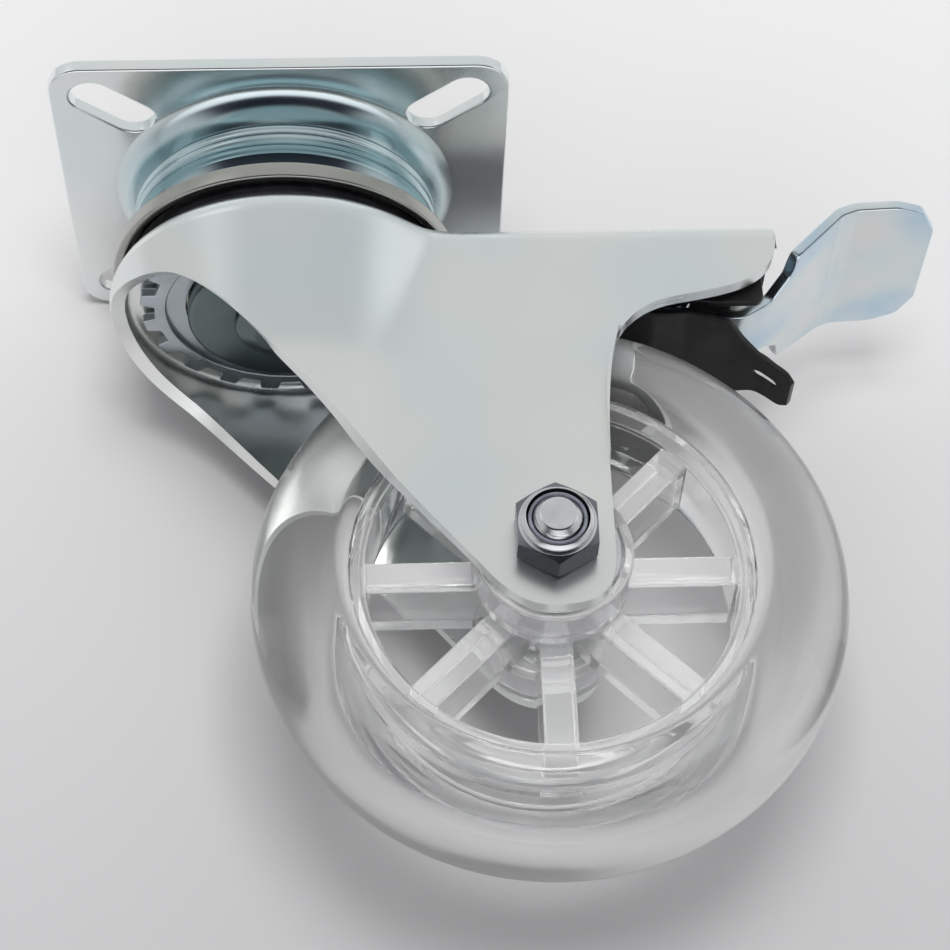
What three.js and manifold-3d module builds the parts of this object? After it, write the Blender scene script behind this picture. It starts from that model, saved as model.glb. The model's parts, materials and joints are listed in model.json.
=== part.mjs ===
// Swivel castor with a clear wheel and a total-lock brake, in millimetres.
// +Z is up along the swivel axis, and the origin is the centre of the plate's mounting face.
// The wheel trails on the +X side, and its axle lies along Y.

import * as THREE from 'three';
import { mergeVertices } from 'three/addons/utils/BufferGeometryUtils.js';
import Module from 'manifold-3d';

const wasm = await Module();
wasm.setup();

// ---------------------------------------------------------------- driving dimensions

const GAP = 0.3; // air left between pieces that touch on the real castor

const PLATE = { length: 80, width: 70, thick: 2.5, corner: 6 };
const SLOT = { x: 29.3, y: 24.8, length: 16.6, width: 7.6 };
const BOSS = { root: 29.6, wall: 27, rib: 0.6, ribPitch: 3.1, floor: -17.5, thick: 2.4 };

const CAP = { radius: 30.7, top: -17.8, web: 2.4, lip: -22.2, lipWall: 1.8 };
const SEAL = { inner: 25.4, outer: 27.6 };
const PIN = { shank: 6.2, head: 10, topHead: 3, lowHead: 2.6 };
const CUP = { radius: 17.4, rim: -27.1, floor: -30.3, wall: 1.1 };
const LOCK = { inner: 17.7, web: 0.9, step: 21.2, root: 23.4, tip: 25.8, top: -27.3, thick: 1.8, teeth: 20 };
const SWIVEL_BALLS = { count: 12, upper: { circle: 20.5, radius: 1.75 }, lower: { circle: 14.4, radius: 1.5 } };

const FORK = {
  top: -24.3, sheet: 2.5, crown: 31.2, leg: 19, rear: 86, low: -104,
  shoulder: 4, innerShoulder: 1.6, draft: 0.26, draftEnd: -52, blend: 1.8,
};

const WHEEL = { x: 44, z: -87, radius: 50, halfWidth: 13.8 };
const TYRE = { widest: 36, power: 2.2, edgeRadius: 33.6, edgeHalf: 9.9 };
const RIM = { inner: 31, outer: 33.3, halfWidth: 9.9, ridge: 35.4, ridgeHalf: 3.6 };
const SPOKE = { count: 8, width: 5.6, halfDepth: 7 };
const BARREL = { seat: 13, seatFrom: 7.7, end: 15.3, waist: 8.2, bore: 6.4 };

const BEARING = { outer: 11, outerInside: 9.2, innerOutside: 6.2, from: 8, to: 15, shield: 0.5 };
const AXLE = { radius: 4, tip: 27.3, headAcross: 13, headThick: 5.3 };
const NUT = { across: 13, hex: 5.4, total: 7, collar: 5.9, collarEnd: 5.3 };
const WASHER = { radius: 6.4 };

const PEDAL = { thick: 2, neck: 7.5, pad: 17.6, tip: 13.6, pivot: [68, -32.4], pin: 2, eye: 3.4 };
const LEAF = {
  thick: 1.2, half: 12, front: 7, tab: 5, toothHalf: 1.3, pivot: [46, -31.8], pin: 1.8, eye: 2.9,
};
const BRACKET = { half: 14.2, sheet: 1.5, from: 41, to: 83, low: -38.4 };
const CROSS_PIN_HEAD = { radius: 3, end: 16.2 };

// ---------------------------------------------------------------- finishes

const finish = (color, roughness, metalness, extra = {}) =>
  new THREE.MeshStandardMaterial({ color, roughness, metalness, ...extra });

const FINISH = {
  zinc: () => finish(0xc9d0cf, 0.28, 0.95),
  zincDark: () => finish(0x8d9a98, 0.35, 0.9),
  steel: () => finish(0xb9bcc0, 0.25, 1),
  black: () => finish(0x17181a, 0.4, 0.4),
  seal: () => finish(0x0d0d10, 0.6, 0),
  nylon: () => finish(0x2a2c30, 0.5, 0),
  tyre: () => finish(0xeef1f2, 0.08, 0, { transparent: true, opacity: 0.35 }),
  hub: () => finish(0xe6ebec, 0.12, 0, { transparent: true, opacity: 0.5 }),
};

// ---------------------------------------------------------------- solids

function signedVolume(geometry) {
  const position = geometry.attributes.position;
  const index = geometry.index.array;
  const [a, b, c] = [new THREE.Vector3(), new THREE.Vector3(), new THREE.Vector3()];
  let six = 0;
  for (let i = 0; i < index.length; i += 3) {
    a.fromBufferAttribute(position, index[i]);
    b.fromBufferAttribute(position, index[i + 1]);
    c.fromBufferAttribute(position, index[i + 2]);
    six += a.dot(b.cross(c));
  }
  return six / 6;
}

// A three.js geometry as a closed solid with its faces pointing out.
function solid(source) {
  const bare = source.clone();
  for (const name of Object.keys(bare.attributes)) {
    if (name !== 'position') bare.deleteAttribute(name);
  }
  const merged = mergeVertices(bare, 1e-4);
  const index = Uint32Array.from(merged.index.array);
  if (signedVolume(merged) < 0) {
    for (let i = 0; i < index.length; i += 3) {
      [index[i], index[i + 1]] = [index[i + 1], index[i]];
    }
  }
  const mesh = new wasm.Mesh({
    numProp: 3,
    vertProperties: Float32Array.from(merged.attributes.position.array),
    triVerts: index,
  });
  return new wasm.Manifold(mesh);
}

function geometryOf(body) {
  const mesh = body.getMesh();
  const geometry = new THREE.BufferGeometry();
  geometry.setAttribute('position', new THREE.BufferAttribute(mesh.vertProperties, 3));
  geometry.setIndex(new THREE.BufferAttribute(mesh.triVerts, 1));
  geometry.computeVertexNormals();
  return geometry;
}

const join = (bodies) => bodies.reduce((sum, body) => sum.add(body));
const cut = (body, tools) => tools.reduce((rest, tool) => rest.subtract(tool), body);

function piece(name, body, material) {
  const mesh = new THREE.Mesh(geometryOf(body), material);
  mesh.name = name;
  return mesh;
}

// ---------------------------------------------------------------- outlines and basic forms

const vectors = (points) => points.map(([x, y]) => new THREE.Vector2(x, y));

// Points of an arc about (cx, cy) from one angle to another, in degrees.
function arc(cx, cy, radius, from, to, steps) {
  const points = [];
  for (let i = 0; i <= steps; i += 1) {
    const angle = THREE.MathUtils.degToRad(from + ((to - from) * i) / steps);
    points.push([cx + radius * Math.cos(angle), cy + radius * Math.sin(angle)]);
  }
  return points;
}

// A closed profile of [radius, height] turned about the Y axis.
function turnedAboutY(profile, segments) {
  const closed = [...profile, profile[0]];
  return solid(new THREE.LatheGeometry(vectors(closed), segments));
}

// The same profile turned about the Z axis.
function turnedAboutZ(profile, segments) {
  const closed = [...profile, profile[0]];
  return solid(new THREE.LatheGeometry(vectors(closed), segments).rotateX(Math.PI / 2));
}

// A flat [x, y] outline given thickness upwards from z.
function extrudedUp(outline, z, height) {
  const shape = Array.isArray(outline) ? new THREE.Shape(vectors(outline)) : outline;
  const options = { depth: height, bevelEnabled: false, curveSegments: 6 };
  return solid(new THREE.ExtrudeGeometry(shape, options).translate(0, 0, z));
}

// An upright [x, z] outline given thickness from y = from to y = to.
function extrudedAcross(outline, from, to) {
  const shape = Array.isArray(outline) ? new THREE.Shape(vectors(outline)) : outline;
  const options = { depth: to - from, bevelEnabled: false, curveSegments: 6 };
  return solid(new THREE.ExtrudeGeometry(shape, options).rotateX(Math.PI / 2).translate(0, to, 0));
}

// A round bar along Y.
function barAlongY([x, z], radius, from, to, segments = 24) {
  const geometry = new THREE.CylinderGeometry(radius, radius, to - from, segments);
  return solid(geometry.translate(x, (from + to) / 2, z));
}

function roundedRectangle(length, width, radius) {
  const [x, y] = [length / 2, width / 2];
  const shape = new THREE.Shape();
  shape.moveTo(-x + radius, -y);
  shape.lineTo(x - radius, -y);
  shape.absarc(x - radius, -y + radius, radius, -Math.PI / 2, 0, false);
  shape.lineTo(x, y - radius);
  shape.absarc(x - radius, y - radius, radius, 0, Math.PI / 2, false);
  shape.lineTo(-x + radius, y);
  shape.absarc(-x + radius, y - radius, radius, Math.PI / 2, Math.PI, false);
  shape.lineTo(-x, -y + radius);
  shape.absarc(-x + radius, -y + radius, radius, Math.PI, 1.5 * Math.PI, false);
  return shape;
}

// A round-ended slot along X, centred on (x, 0).
function slotOutline(x, length, width) {
  const radius = width / 2;
  const reach = length / 2 - radius;
  return [...arc(x + reach, 0, radius, -90, 90, 6), ...arc(x - reach, 0, radius, 90, 270, 6)];
}

function hexagon(across, turn) {
  const radius = across / Math.sqrt(3);
  return arc(0, 0, radius, turn, turn + 300, 5);
}

// A strip of sheet metal: the outline of a bent centre line with the given thickness.
function bentStrip(centre, thick) {
  const sides = [1, -1].map((side) =>
    centre.map((point, i) => {
      const before = centre[Math.max(i - 1, 0)];
      const after = centre[Math.min(i + 1, centre.length - 1)];
      const into = new THREE.Vector2(point[0] - before[0], point[1] - before[1]);
      const out = new THREE.Vector2(after[0] - point[0], after[1] - point[1]);
      if (i === 0) into.copy(out);
      if (i === centre.length - 1) out.copy(into);
      const along = into.normalize().add(out.normalize()).normalize();
      const half = thick / 2 / Math.max(along.dot(out), 0.5);
      return [point[0] - side * along.y * half, point[1] + side * along.x * half];
    })
  );
  return [...sides[0], ...sides[1].reverse()];
}

// ---------------------------------------------------------------- plate and swivel head

function bossProfile() {
  const { root, wall, rib, ribPitch, floor, thick } = BOSS;
  const outside = [[root, -PLATE.thick], [wall + 0.7, -3.4], [wall, -4.7]];
  for (let ring = 0; ring < 3; ring += 1) {
    const z = -6.1 - ring * ribPitch;
    outside.push([wall, z + 0.9], [wall + rib, z + 0.4], [wall + rib, z - 0.4], [wall, z - 0.9]);
  }
  outside.push([wall, floor + 2], [wall - 0.6, floor + 0.6], [wall - 2, floor]);
  const hole = PIN.shank + GAP;
  const inside = [
    [hole, floor], [hole, floor + thick], [wall - thick - 1.2, floor + thick],
    [wall - thick, floor + thick + 1.2], [wall - thick, -3.6], [wall - thick + 0.8, -1.4], [root - 1.2, 0],
    [root, 0],
  ];
  return [...outside, ...inside];
}

function topPlate() {
  const shape = roundedRectangle(PLATE.length, PLATE.width, PLATE.corner);
  shape.holes.push(new THREE.Path(vectors(arc(0, 0, BOSS.root - 0.5, 0, -351, 39))));
  const flat = extrudedUp(shape, -PLATE.thick, PLATE.thick);
  const boss = turnedAboutZ(bossProfile(), 40);
  const slots = [];
  for (const sideX of [-1, 1]) {
    for (const sideY of [-1, 1]) {
      const turn = THREE.MathUtils.radToDeg(Math.atan2(sideY * SLOT.y, sideX * SLOT.x));
      const slot = extrudedUp(slotOutline(0, SLOT.length, SLOT.width), -PLATE.thick - 1, PLATE.thick + 2);
      slots.push(slot.rotate([0, 0, turn]).translate([sideX * SLOT.x, sideY * SLOT.y, 0]));
    }
  }
  return piece('top_plate', cut(join([flat, boss]), slots), FINISH.zinc());
}

function raceCap() {
  const { radius, top, web, lip, lipWall } = CAP;
  const hole = PIN.shank + GAP;
  const profile = [
    [hole, top], [radius - 4, top], [radius - 1.6, top - 0.7], [radius, top - 1.9], [radius, lip + 0.3],
    [radius - 0.3, lip], [radius - lipWall, lip], [radius - lipWall, top - web - 0.8],
    [radius - lipWall - 0.9, top - web], [hole, top - web],
  ];
  return piece('race_cap', turnedAboutZ(profile, 40), FINISH.zinc());
}

function kingpin() {
  const { shank, head, topHead, lowHead } = PIN;
  const under = BOSS.floor + BOSS.thick + GAP;
  const low = CUP.floor - CUP.wall - GAP;
  const profile = [
    [0, under + topHead], [head * 0.6, under + topHead], [head, under + topHead * 0.4], [head, under],
    [shank, under], [shank, low], [head - 1, low], [head - 1, low - lowHead * 0.4],
    [head * 0.55, low - lowHead], [0, low - lowHead],
  ];
  return piece('kingpin', turnedAboutZ(profile, 24), FINISH.steel());
}

function lowerCup() {
  const { radius, rim, floor, wall } = CUP;
  const hole = PIN.shank + GAP;
  const profile = [
    [radius, rim], [radius, floor], [radius - 1, floor - wall], [hole, floor - wall], [hole, floor],
    [radius - wall - 0.4, floor], [radius - wall, floor + 0.4], [radius - wall, rim],
  ];
  return piece('lower_race_cup', turnedAboutZ(profile, 32), FINISH.zincDark());
}

// The castellated ring that the brake leaf's tooth catches: a thick toothed rim round a thinner web.
function lockRing() {
  const { inner, web, step, root, tip, top, thick, teeth } = LOCK;
  const pitch = 360 / teeth;
  const outline = [];
  for (let tooth = 0; tooth < teeth; tooth += 1) {
    const middle = pitch * (tooth + 0.5);
    outline.push(...arc(0, 0, root, middle - pitch / 2, middle - pitch / 4, 1));
    outline.push(...arc(0, 0, tip, middle - pitch / 4 + 0.8, middle + pitch / 4 - 0.8, 2));
    outline.push(...arc(0, 0, root, middle + pitch / 4, middle + pitch / 2 - 0.5, 1));
  }
  const shape = new THREE.Shape(vectors(outline));
  shape.holes.push(new THREE.Path(vectors(arc(0, 0, step, 0, -348, 29))));
  const rim = extrudedUp(shape, top - thick, thick);
  const middle = turnedAboutZ([[inner, top - web], [step + 0.6, top - web], [step + 0.6, top], [inner, top]], 30);
  return piece('lock_ring', join([rim, middle]), FINISH.zincDark());
}

// Balls held in a thin cage, on a circle about the axis of the cage.
function cagedBalls(circle, radius, count) {
  const cage = new THREE.TorusGeometry(circle, radius * 0.3, 4, count * 2);
  const bodies = [solid(cage)];
  for (let ball = 0; ball < count; ball += 1) {
    const angle = (2 * Math.PI * ball) / count;
    const sphere = new THREE.OctahedronGeometry(radius, 1);
    bodies.push(solid(sphere.translate(circle * Math.cos(angle), circle * Math.sin(angle), 0)));
  }
  return join(bodies);
}

function swivelBalls() {
  const { count, upper: above, lower: below } = SWIVEL_BALLS;
  const upper = piece('upper_ball_ring', cagedBalls(above.circle, above.radius, count), FINISH.steel());
  upper.position.z = (CAP.top - CAP.web + FORK.top) / 2;
  const lower = piece('lower_ball_ring', cagedBalls(below.circle, below.radius, count), FINISH.steel());
  lower.position.z = (FORK.top - FORK.sheet + CUP.floor) / 2;
  return [upper, lower];
}

function dustSeal() {
  const low = FORK.top + GAP;
  const high = CAP.top - CAP.web - GAP;
  const profile = [
    [SEAL.inner, low], [SEAL.outer + 0.6, low], [SEAL.outer, low + 1.4], [SEAL.outer, high],
    [SEAL.inner, high],
  ];
  return piece('dust_seal', turnedAboutZ(profile, 40), FINISH.seal());
}

// ---------------------------------------------------------------- fork

// Half width of the fork's outside at a station x, where the crown's round has the given radius.
function forkHalfWidth(x, round) {
  const circle = Math.sqrt(Math.max(round * round - x * x, 0));
  const blend = FORK.blend * THREE.MathUtils.smoothstep(x, 0, 12);
  const middle = (circle + FORK.leg) / 2;
  return middle + Math.hypot((circle - FORK.leg) / 2, blend);
}

// The fork's outline in plan: round in front, drawn in to two parallel legs behind.
function forkOutline(round, inset, rear) {
  const side = [];
  for (let i = 0; i < 12; i += 1) {
    const angle = Math.PI - (Math.PI / 2) * (i / 12);
    side.push([round * Math.cos(angle), round * Math.sin(angle)]);
  }
  for (const x of [0, 4, 8, 12, 15, 18, 21, 24, 28, 34, 44]) side.push([x, forkHalfWidth(x, round)]);
  side.push([rear, FORK.leg]);
  const moved = side.map(([x, y], i) => {
    const before = side[Math.max(i - 1, 0)];
    const after = side[Math.min(i + 1, side.length - 1)];
    const along = new THREE.Vector2(after[0] - before[0], after[1] - before[1]).normalize();
    if (i === 0) along.set(0, 1);
    if (i === side.length - 1) return [x, y - inset];
    return [x + along.y * inset, y - along.x * inset];
  });
  const other = moved.slice(1).map(([x, y]) => [x, -y]).reverse();
  return [...moved, ...other];
}

// Horizontal outlines joined into one closed solid, from the top one down.
function loft(levels) {
  const count = levels[0].outline.length;
  const position = levels.flatMap(({ z, outline }) => outline.flatMap(([x, y]) => [x, y, z]));
  const index = [];
  for (let row = 0; row < levels.length - 1; row += 1) {
    for (let i = 0; i < count; i += 1) {
      const next = (i + 1) % count;
      const [a, b] = [row * count + i, row * count + next];
      index.push(a, b, a + count, b, b + count, a + count);
    }
  }
  const caps = THREE.ShapeUtils.triangulateShape(vectors(levels[0].outline), []);
  const last = (levels.length - 1) * count;
  for (const [a, b, c] of caps) index.push(a, b, c, last + a, last + c, last + b);
  const geometry = new THREE.BufferGeometry();
  geometry.setAttribute('position', new THREE.Float32BufferAttribute(position, 3));
  geometry.setIndex(index);
  return solid(geometry);
}

// The fork's outside, or its inside when inset is the sheet's thickness.
function forkBody(inset, shoulder, rear) {
  const top = FORK.top - inset;
  const levels = [];
  for (let step = 0; step <= 4; step += 1) {
    const angle = (Math.PI / 2) * (step / 4);
    const z = top - shoulder * (1 - Math.cos(angle));
    levels.push({ z, outline: forkOutline(FORK.crown, inset + shoulder * (1 - Math.sin(angle)), rear) });
  }
  const start = FORK.top - FORK.shoulder;
  for (const z of [-36, -44, FORK.draftEnd]) {
    const round = FORK.crown - FORK.draft * (start - z);
    levels.push({ z, outline: forkOutline(round, inset, rear) });
  }
  const narrow = FORK.crown - FORK.draft * (start - FORK.draftEnd);
  levels.push({ z: FORK.low, outline: forkOutline(narrow, inset, rear) });
  return loft(levels);
}

// What is left of the fork in side view: crown, sloping front edge, foot round the axle, stepped rear.
function forkSide() {
  const shape = new THREE.Shape();
  const { x, z } = WHEEL;
  shape.moveTo(-FORK.crown - 2, FORK.top + 2);
  shape.lineTo(-FORK.crown - 2, -27.2);
  shape.bezierCurveTo(-28, -32.5, -24, -32.8, -18.5, -36);
  shape.bezierCurveTo(-12, -40.5, -6, -47.5, 4, -58.2);
  shape.lineTo(31.5, -91);
  shape.quadraticCurveTo(36.5, -98, x - 1, z - 12.1);
  shape.bezierCurveTo(x + 7.5, z - 12.1, x + 9.6, z - 9.5, x + 9.6, z - 1);
  shape.lineTo(53.7, -62);
  shape.bezierCurveTo(53.9, -51, 57, -42.2, 67, -40.2);
  shape.bezierCurveTo(76, -38.4, 85.6, -37.4, 85.3, -28);
  shape.lineTo(85.3, -26.5);
  shape.quadraticCurveTo(85.2, -24.3, 82.8, -24);
  shape.lineTo(82.8, FORK.top + 2);
  return extrudedAcross(shape, -40, 40);
}

function fork() {
  const outside = forkBody(0, FORK.shoulder, FORK.rear);
  const shell = outside.subtract(forkBody(FORK.sheet, FORK.innerShoulder, FORK.rear + 13));
  const kingpinHole = turnedAboutZ(
    [[0, -20], [PIN.shank + 0.8, -20], [PIN.shank + 0.8, -30], [0, -30]], 32
  );
  const axleHole = barAlongY([WHEEL.x, WHEEL.z], AXLE.radius + GAP, -40, 40);
  const body = cut(shell.intersect(forkSide()), [kingpinHole, axleHole]);
  return piece('fork', body, FINISH.zinc());
}

// ---------------------------------------------------------------- axle

// Axle pieces are made about the wheel's centre, with the axle along Y.
function axleBolt() {
  const { radius, tip, headAcross, headThick } = AXLE;
  const headFrom = FORK.leg + GAP;
  const head = extrudedAcross(hexagon(headAcross, 0), headFrom, headFrom + headThick);
  const shank = turnedAboutY(
    [[0, -tip], [radius - 1, -tip], [radius, -tip + 1], [radius, headFrom + 1], [0, headFrom + 1]], 24
  );
  return piece('axle_bolt', join([head, shank]), FINISH.steel());
}

function axleNut() {
  const from = FORK.leg + GAP;
  const hex = extrudedAcross(hexagon(NUT.across, 30), -from - NUT.hex, -from);
  const collar = turnedAboutY(
    [
      [0, -from - 1], [NUT.collar, -from - 1], [NUT.collar, -from - NUT.hex - 0.6],
      [NUT.collarEnd, -from - NUT.total], [0, -from - NUT.total],
    ],
    30
  );
  const bore = barAlongY([0, 0], AXLE.radius + GAP, -from - NUT.hex, -from + 1);
  const seat = barAlongY([0, 0], AXLE.radius + GAP + 0.8, -from - NUT.total - 1, -from - NUT.hex + 0.9);
  return piece('axle_nut', cut(join([hex, collar]), [bore, seat]), FINISH.steel());
}

// The range from low to high, measured out from the middle towards one side, -1 or 1.
const onSide = (side, low, high) => (side > 0 ? [low, high] : [-high, -low]);

function ring(inner, outer, from, to, segments) {
  const profile = [[inner, from], [outer, from], [outer, to], [inner, to]];
  return turnedAboutY(profile, segments);
}

function nutInsert() {
  const outside = FORK.leg + GAP + NUT.hex;
  const inner = AXLE.radius + GAP;
  const body = ring(inner - 0.15, inner + 0.5, -outside - 1.2, -outside + 0.6, 24);
  return piece('nut_insert', body, FINISH.nylon());
}

// ---------------------------------------------------------------- wheel

// The tyre's outside from its inner edge on one side, over the tread, to the other.
function tyreOutside() {
  const { widest, power, edgeRadius, edgeHalf } = TYRE;
  const flank = (widest - edgeRadius) / Math.sin(Math.acos(edgeHalf / WHEEL.halfWidth));
  const points = [[edgeRadius, -edgeHalf]];
  const start = Math.acos(edgeHalf / WHEEL.halfWidth);
  for (const part of [0.66, 0.33]) {
    const angle = start * part;
    points.push([widest - flank * Math.sin(angle), -WHEEL.halfWidth * Math.cos(angle)]);
  }
  const steps = 10;
  for (let i = 0; i <= steps; i += 1) {
    const angle = -Math.PI / 2 + (Math.PI * i) / steps;
    const across = Math.sign(Math.sin(angle)) * Math.abs(Math.sin(angle)) ** (2 / power);
    const out = Math.max(Math.cos(angle), 0) ** (2 / power);
    points.push([widest + (WHEEL.radius - widest) * out, WHEEL.halfWidth * across]);
  }
  const mirrored = points.slice(0, 3).map(([radius, y]) => [radius, -y]).reverse();
  return [...points, ...mirrored];
}

function tyre() {
  const { outer, ridge, ridgeHalf } = RIM;
  const inside = [
    [outer + GAP, ridgeHalf + 2], [ridge + GAP, ridgeHalf],
    [ridge + GAP, -ridgeHalf], [outer + GAP, -ridgeHalf - 2],
  ];
  return piece('tyre', turnedAboutY([...tyreOutside(), ...inside], 44), FINISH.tyre());
}

function hub() {
  const { inner, outer, halfWidth, ridge, ridgeHalf } = RIM;
  const rim = turnedAboutY(
    [
      [inner + 0.8, -halfWidth], [outer, -halfWidth], [outer, -ridgeHalf - 2], [ridge, -ridgeHalf],
      [ridge, ridgeHalf], [outer, ridgeHalf + 2], [outer, halfWidth], [inner + 0.8, halfWidth],
      [inner, SPOKE.halfDepth], [inner, -SPOKE.halfDepth],
    ],
    48
  );
  const { seat, seatFrom, end, waist, bore } = BARREL;
  const pocket = BEARING.outer + GAP;
  const barrel = turnedAboutY(
    [
      [bore, -seatFrom], [pocket, -seatFrom], [pocket, -end], [seat, -end], [seat, -seatFrom - 0.3],
      [waist, -seatFrom + 1.5], [waist, seatFrom - 1.5], [seat, seatFrom + 0.3], [seat, end], [pocket, end],
      [pocket, seatFrom], [bore, seatFrom],
    ],
    32
  );
  const spokes = [];
  for (let i = 0; i < SPOKE.count; i += 1) {
    const length = inner + 0.6 - waist + 0.6;
    const box = new THREE.BoxGeometry(length, SPOKE.halfDepth * 2, SPOKE.width);
    box.translate(waist - 0.6 + length / 2, 0, 0).rotateY((2 * Math.PI * i) / SPOKE.count);
    spokes.push(solid(box));
  }
  return piece('hub', join([rim, barrel, ...spokes]), FINISH.hub());
}

// One sealed ball bearing: outer ring, inner ring, two shields and caged balls. side is -1 or 1.
function bearing(side, label) {
  const { outer, outerInside, innerOutside, from, to, shield } = BEARING;
  const part = (name, material, inner, outside, low, high) =>
    piece(`${label}_bearing_${name}`, ring(inner, outside, ...onSide(side, low, high), 32), material);
  const cover = (name, low) =>
    part(name, FINISH.zincDark(), innerOutside + GAP, outerInside - GAP, low, low + shield);
  const circle = (outerInside + innerOutside) / 2;
  const radius = (outerInside - innerOutside) / 2 - GAP;
  const balls = piece(`${label}_bearing_balls`, cagedBalls(circle, radius, 7), FINISH.steel());
  balls.rotation.x = Math.PI / 2;
  balls.position.y = (side * (from + to)) / 2;
  return [
    part('outer_ring', FINISH.steel(), outerInside, outer, from, to),
    part('inner_ring', FINISH.steel(), AXLE.radius + GAP, innerOutside, from, to),
    cover('inner_shield', from + GAP),
    cover('outer_shield', to - GAP - shield),
    balls,
  ];
}

function axlePieces() {
  const bore = AXLE.radius + GAP;
  const half = BEARING.from - GAP;
  const sleeve = piece('axle_sleeve', ring(bore, BARREL.bore - GAP, -half, half, 24), FINISH.steel());
  const legInside = FORK.leg - FORK.sheet;
  const washers = [['near', -1], ['far', 1]].map(([label, side]) => {
    const body = ring(bore, WASHER.radius, ...onSide(side, BEARING.to + GAP, legInside - GAP), 28);
    return piece(`${label}_washer`, body, FINISH.steel());
  });
  return [axleBolt(), axleNut(), nutInsert(), sleeve, ...washers];
}

function wheelGroup() {
  const group = new THREE.Group();
  group.position.set(WHEEL.x, 0, WHEEL.z);
  group.add(tyre(), hub(), ...bearing(-1, 'near'), ...bearing(1, 'far'), ...axlePieces());
  return group;
}

// ---------------------------------------------------------------- brake

// The pedal: a bent lever whose neck widens in a shoulder into an eight-cornered pad.
function pedal() {
  const [pivotX, pivotZ] = PEDAL.pivot;
  const line = [
    [pivotX, pivotZ - 2.6], [71.5, -35.8], [75, -36.6], [80.4, -36.2], [84, -34], [97.6, -22],
    [100.6, -20.9], [115.4, -20.2],
  ];
  const strip = extrudedAcross(bentStrip(line, PEDAL.thick), -PEDAL.pad, PEDAL.pad);
  const { neck, pad, tip } = PEDAL;
  const half = [
    [60, neck], [85.2, neck], [88.2, 11], [89.2, 15.6], [97.5, pad], [108, pad],
    [112.5, tip + 2.4], [115.4, tip - 3],
  ];
  const outline = [...half, ...half.map(([x, y]) => [x, -y]).reverse()];
  const lever = strip.intersect(extrudedUp(outline, -50, 50));
  const eye = barAlongY(PEDAL.pivot, PEDAL.eye, -neck, neck);
  const hole = barAlongY(PEDAL.pivot, PEDAL.pin + GAP, -20, 20);
  return piece('brake_pedal', join([lever, eye]).subtract(hole), FINISH.zinc());
}

// The spring leaf: lock tooth in front, brake dip over the tyre, tab with an oval hole behind.
function leaf() {
  const line = [
    [24.2, -30.5], [34, -31.6], [41, -33.3], [50, -34.2], [58, -36.4], [64.5, -38.7], [70, -38.6],
    [78, -41], [83.6, -44.1], [88.4, -48.4],
  ];
  const strip = extrudedAcross(bentStrip(line, LEAF.thick), -LEAF.half, LEAF.half);
  const { half, front, tab, toothHalf } = LEAF;
  const edge = [
    [20, toothHalf], [26.6, toothHalf], [28.5, front], [50, front], [54, half], [77, half],
    [79.5, 8.4], [82.5, 5.6], [85, tab], [87.6, tab], [89.2, tab - 2],
  ];
  const outline = [...edge, ...edge.map(([x, y]) => [x, -y]).reverse()];
  const toothSide = [[23.9, -31], [25.6, -31], [25.6, -29.6], [23.9, -29.6]];
  const tooth = extrudedAcross(toothSide, -toothHalf, toothHalf);
  const body = strip.intersect(extrudedUp(outline, -60, 60));
  const eye = barAlongY(LEAF.pivot, LEAF.eye, -front, front);
  const hole = barAlongY(LEAF.pivot, LEAF.pin + GAP, -20, 20);
  const oval = extrudedUp(slotOutline(84, 5.6, 2.8), -60, 60);
  return piece('brake_leaf', cut(join([body, tooth, eye]), [hole, oval]), FINISH.black());
}

// The channel under the fork's roof that carries both cross pins.
function bracket() {
  const { half, sheet, from, to, low } = BRACKET;
  const top = FORK.top - FORK.sheet - GAP;
  const roof = extrudedAcross(
    [[from, top], [to - 3, top], [to - 3, top - sheet], [from, top - sheet]], -half, half
  );
  const shape = new THREE.Shape();
  shape.moveTo(from, top);
  shape.lineTo(to - 3, top);
  shape.lineTo(to, top - 3);
  shape.lineTo(to, low);
  shape.lineTo(75, low);
  shape.bezierCurveTo(66, -36.6, 60, -36.2, 53, -34.8);
  shape.lineTo(from, -34.8);
  const cheeks = [-half, half - sheet].map((y) => extrudedAcross(shape, y, y + sheet));
  const holes = [
    barAlongY(PEDAL.pivot, PEDAL.pin + GAP, -20, 20),
    barAlongY(LEAF.pivot, LEAF.pin + GAP, -20, 20),
  ];
  return piece('brake_bracket', cut(join([roof, ...cheeks]), holes), FINISH.black());
}

function crossPin(name, pivot, radius) {
  const { end } = CROSS_PIN_HEAD;
  const shank = barAlongY(pivot, radius, -end + 0.6, end - 0.6, 20);
  const heads = [-1, 1].map((side) => {
    const range = onSide(side, BRACKET.half + GAP, end);
    return barAlongY(pivot, CROSS_PIN_HEAD.radius, ...range, 20);
  });
  return piece(name, join([shank, ...heads]), FINISH.zincDark());
}

// ---------------------------------------------------------------- the whole castor

const castor = new THREE.Group();
castor.add(topPlate(), raceCap(), kingpin(), lowerCup(), lockRing(), ...swivelBalls(), dustSeal(), fork());
castor.add(wheelGroup());
castor.add(pedal(), leaf(), bracket());
castor.add(crossPin('pedal_pin', PEDAL.pivot, PEDAL.pin), crossPin('rocker_pin', LEAF.pivot, LEAF.pin));

export default castor;
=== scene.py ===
import json
import math

import bmesh
import bpy
from mathutils import Matrix, Vector

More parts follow.
